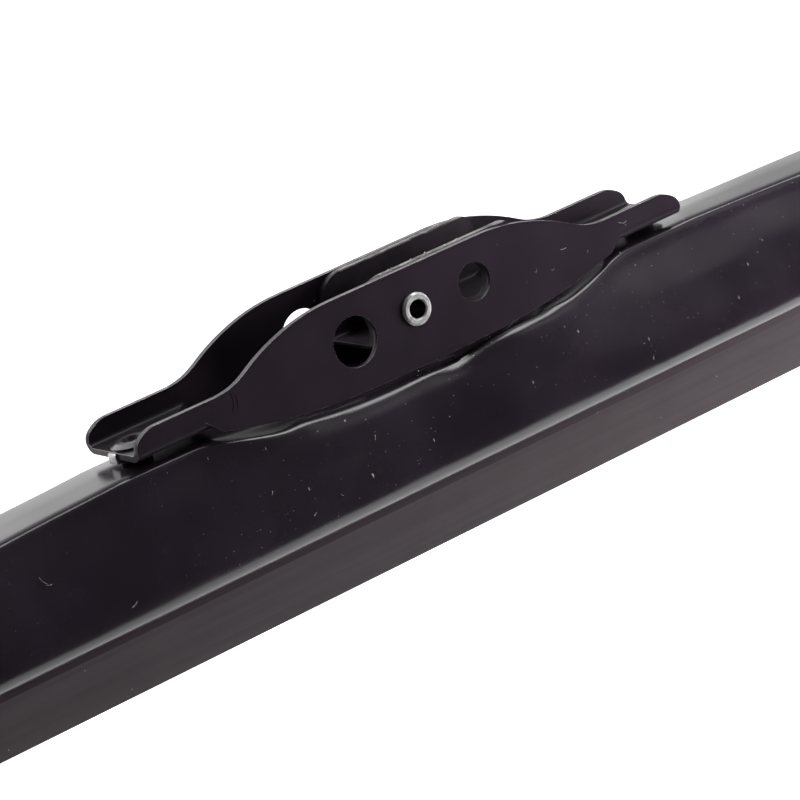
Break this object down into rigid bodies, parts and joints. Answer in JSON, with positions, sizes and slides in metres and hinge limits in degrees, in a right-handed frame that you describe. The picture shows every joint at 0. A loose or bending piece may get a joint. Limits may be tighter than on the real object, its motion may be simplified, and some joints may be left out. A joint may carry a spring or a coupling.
{
  "type": "winter wiper blade",
  "caption": "Winter wiper blade: rubber-booted lever frame over a squeegee strip, with a black steel saddle and a pivoting adapter for the arm.",
  "frame": {"origin": "on the axis of the hollow centre pin, at mid-width of the saddle", "axes": "+X along the blade, +Y across it along the pin axis, +Z away from the glass"},
  "size_m": [0.56, 0.019, 0.038],
  "materials": {
    "painted_steel": "satin",
    "bright_steel": "satin",
    "spring_steel": "satin",
    "black_plastic": "matte",
    "boot_rubber": "gloss",
    "wiping_rubber": "matte"
  },
  "bodies": {
    "blade": {"centre_pin": "bright_steel", "lever_bush_left": "black_plastic", "lever_bush_right": "black_plastic", "lever_pivot_left": "bright_steel", "lever_pivot_right": "bright_steel", "primary_bridge": "painted_steel", "rubber_boot": "boot_rubber", "saddle_bracket": "painted_steel", "saddle_rivet_left": "painted_steel", "saddle_rivet_right": "painted_steel", "saddle_spacer_left": "bright_steel", "saddle_spacer_right": "bright_steel", "secondary_lever_left": "painted_steel", "secondary_lever_right": "painted_steel", "spring_rail_back": "spring_steel", "spring_rail_front": "spring_steel", "squeegee": "wiping_rubber", "yoke_1": "painted_steel", "yoke_2": "painted_steel", "yoke_3": "painted_steel", "yoke_4": "painted_steel", "yoke_bush_1": "black_plastic", "yoke_bush_2": "black_plastic", "yoke_bush_3": "black_plastic", "yoke_bush_4": "black_plastic", "yoke_pivot_1": "bright_steel", "yoke_pivot_2": "bright_steel", "yoke_pivot_3": "bright_steel", "yoke_pivot_4": "bright_steel"},
    "adapter": {"arm_adapter": "black_plastic"}
  },
  "joints": [
    {"name": "adapter_pivot", "type": "hinge", "parent": "blade", "child": "adapter", "pos_m": [0, 0, 0], "axis": [0, 1, 0], "range_deg": [-18, 8]}
  ]
}
